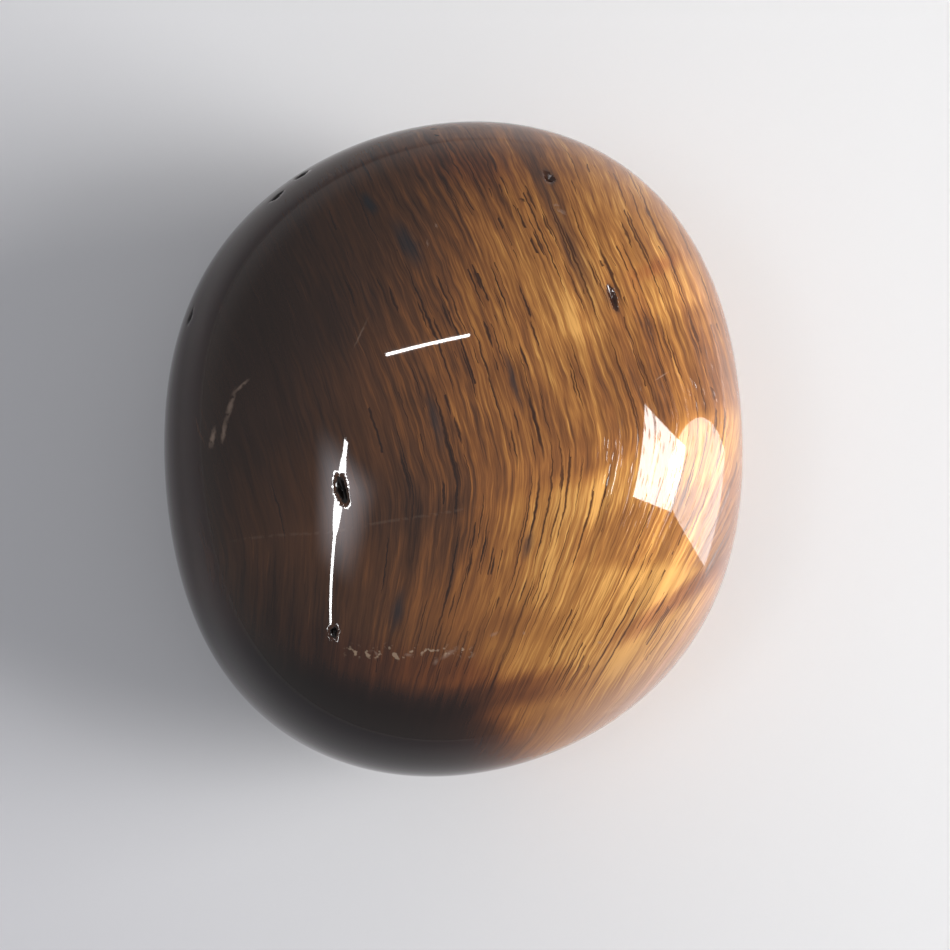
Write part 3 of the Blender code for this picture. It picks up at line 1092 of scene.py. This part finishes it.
    def polish_facing(self):
        """Which way the polish faces, with its tiny breaks along the fibres on the gold side."""
        specks = hairlines(self.across, self.along, POLISH_SPECKS, SPECK_SHARE)
        open_lines = hairlines(self.across, self.along, POLISH_LINES, LINE_SHARE)
        breaks = largest(specks, open_lines) * fade(self.side, *BREAKS_ACROSS)
        bump = {"Height": breaks * -1.0, "Strength": BREAK_STRENGTH, "Distance": BREAK_DEPTH}
        return Level(add_node(self.tree, "ShaderNodeBump", bump).outputs[0])


def stone_finish_with_painted_light():
    """Silky fibres in golden and brown bands under a clear polish, with painted sheen, painted light on the
    right rim and painted shade in the pits.
    """
    material = bpy.data.materials.new("silky_polished_stone")
    material.use_nodes = True
    tree = material.node_tree
    tree.nodes.clear()
    pattern = SilkPatternAndPaintedLight(tree)
    silk_facing = pattern.silk_facing()
    across_fibres = pattern.across_fibres()
    polish_facing = pattern.polish_facing()
    shader = add_node(
        tree,
        "ShaderNodeBsdfPrincipled",
        {
            "Base Color": pattern.colour,
            "Metallic": 0.4,
            "Roughness": 0.55,
            "IOR": 1.54,
            "Specular IOR Level": 0.0,
            "Specular Tint": (0.6, 0.4, 0.25, 1.0),
            "Anisotropic": 0.7,
            "Coat Weight": 1.0,
            "Coat Roughness": 0.02,
            "Coat IOR": 1.54,
            "Coat Normal": polish_facing,
            "Normal": silk_facing,
            "Tangent": across_fibres,
        },
    )
    output = add_node(tree, "ShaderNodeOutputMaterial")
    tree.links.new(shader.outputs[0], output.inputs[0])
    return material


def floor_finish_with_painted_light():
    """Pale matt surface with a painted pool of light: brightest on the window's side, a little dimmer farther
    from it, and a lighter grey far away.
    """
    material = bpy.data.materials.new("pale_floor")
    material.use_nodes = True
    tree = material.node_tree
    shader = tree.nodes["Principled BSDF"]
    corner = Level(add_node(tree, "ShaderNodeTexCoord").outputs["Object"])
    reach = measure("LENGTH", join("SUBTRACT", corner, PAINTED_LIGHT_CENTRE))
    # Painted light: a pool of light on the window's side that dims with reach
    colour = tint(fade(reach, *DIM_REACH), PAINTED_LIGHT_GREY, PAINTED_FALLOFF_GREY)
    colour = tint(fade(reach, *FAR_REACH), colour, FAR_GREY)
    tree.links.new(colour.socket, shader.inputs["Base Color"])
    shader.inputs["Roughness"].default_value = 0.5
    return material


def make_floor():
    """A large flat square just under the stone."""
    ways = ((-1.0, -1.0), (1.0, -1.0), (1.0, 1.0), (-1.0, 1.0))
    corners = [(x * FLOOR_HALF, y * FLOOR_HALF, FLOOR_DROP) for x, y in ways]
    mesh = bpy.data.meshes.new("floor")
    mesh.from_pydata(corners, [], [(0, 1, 2, 3)])
    mesh.materials.append(floor_finish_with_painted_light())
    floor = bpy.data.objects.new("floor", mesh)
    bpy.context.scene.collection.objects.link(floor)


def from_direction(azimuth, elevation, distance, centre):
    """The point seen from centre at an azimuth and an elevation, in degrees."""
    turn, tilt = radians(azimuth), radians(elevation)
    way = Vector((cos(tilt) * cos(turn), cos(tilt) * sin(turn), sin(tilt)))
    return centre + way * distance


def hang_light(name, place, long_way, length, width, radiance, colour):
    """A rectangular soft light that faces the stone, with its length along long_way.

    Its power gives the stated radiance: power is pi times radiance times area.
    """
    along = long_way.normalized()
    facing = place - STONE_MIDDLE
    facing = (facing - along * facing.dot(along)).normalized()
    data = bpy.data.lights.new(name, "AREA")
    data.shape = "RECTANGLE"
    data.size = length
    data.size_y = width
    data.energy = radiance * pi * length * width
    data.color = colour
    light = bpy.data.objects.new(name, data)
    turn = Matrix((along, facing.cross(along), facing)).transposed().to_4x4()
    light.matrix_world = Matrix.Translation(place) @ turn
    light.visible_camera = False
    bpy.context.scene.collection.objects.link(light)
    return light


def hang_window(name, azimuth, elevation, turn_wide, turn_high, roll, radiance, colour):
    """A window light as the stone sees it: its middle's direction, how wide and high it looks, its roll."""
    place = from_direction(azimuth, elevation, WINDOW_DISTANCE, STONE_MIDDLE)
    wide = 2.0 * WINDOW_DISTANCE * tan(radians(turn_wide / 2.0))
    high = 2.0 * WINDOW_DISTANCE * tan(radians(turn_high / 2.0))
    sideways = Vector((-sin(radians(azimuth)), cos(radians(azimuth)), 0.0))
    sideways = Matrix.Rotation(radians(roll), 3, place - STONE_MIDDLE) @ sideways
    return hang_light(name, place, sideways, wide, high, radiance, colour)


def hang_slim_light(name, start, end, width, radiance):
    """A slim straight white light on the ceiling between two points of its plan."""
    start = Vector((*start, CEILING_HEIGHT))
    end = Vector((*end, CEILING_HEIGHT))
    way = end - start
    return hang_light(name, (start + end) / 2.0, way, way.length, width, radiance, WHITE)


def make_lights():
    """The window on the right as two panes, the daylight it lets in, and two slim ceiling lights."""
    lights = {name: hang_window(name, *values) for name, values in WINDOW_LIGHTS.items()}
    lights.update({name: hang_slim_light(name, *values) for name, values in SLIM_LIGHTS.items()})
    for name in OVAL_LIGHTS:
        lights[name].data.shape = "ELLIPSE"
    for name in UNMIRRORED:
        lights[name].visible_glossy = False
    for name in MIRRORED_ONLY:
        lights[name].visible_diffuse = False


def make_room():
    """The room's own glow: dim overhead, lighter near the horizon, and a halo beside the slim light."""
    world = bpy.data.worlds.new("room")
    world.use_nodes = True
    tree = world.node_tree
    across, back, up = split(Level(add_node(tree, "ShaderNodeTexCoord").outputs["Generated"]))
    rise = calc("MAXIMUM", up, LEAST_RISE)
    plan_x = calc("DIVIDE", across, rise) + HALO_START_LEFT
    plan_y = calc("DIVIDE", back, rise) - HALO_START_BACK
    beside = plan_x * HALO_FORWARDS - plan_y * HALO_LEFTWARDS
    along = plan_x * -HALO_LEFTWARDS - plan_y * HALO_FORWARDS
    halo = stripe(beside, *HALO_LINE) * fade(along, *HALO_FROM) * fade(along, *HALO_TO)
    near_horizon = fade(up, *HORIZON_RISE)
    horizon = tint(fade(back, *HORIZON_TURN), HORIZON_FRONT, HORIZON_BACK)
    colour = tint(near_horizon, OVERHEAD, horizon)
    colour = tint(halo * fade(up, *HALO_RISE), colour, HALO_COLOUR)
    tree.links.new(colour.socket, tree.nodes["Background"].inputs["Color"])
    bpy.context.scene.world = world


def make_camera():
    """A camera over the stone, with the photo's view of it."""
    tilt = radians(90.0 - CAMERA_ELEVATION)
    image_up = Vector((0.0, cos(tilt), sin(tilt)))
    target = Vector((STONE_LEFT, 0.0, GIRDLE_HEIGHT)) - image_up * STONE_UP
    data = bpy.data.cameras.new("camera")
    data.sensor_width = SENSOR_WIDTH_MM
    data.lens = SENSOR_WIDTH_MM * CAMERA_DISTANCE / VIEW_WIDTH
    data.clip_start = CAMERA_CLIP_START
    camera = bpy.data.objects.new("camera", data)
    camera.location = from_direction(CAMERA_AZIMUTH, CAMERA_ELEVATION, CAMERA_DISTANCE, target)
    camera.rotation_euler = (tilt, 0.0, 0.0)
    bpy.context.scene.collection.objects.link(camera)
    bpy.context.scene.camera = camera


stone = make_stone()
stone.data.materials.append(stone_finish_with_painted_light())
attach(stone, "root")
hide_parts("tigers_eye_stone")
make_floor()
make_room()
make_lights()
make_camera()
bpy.context.scene.view_settings.view_transform = "Standard"
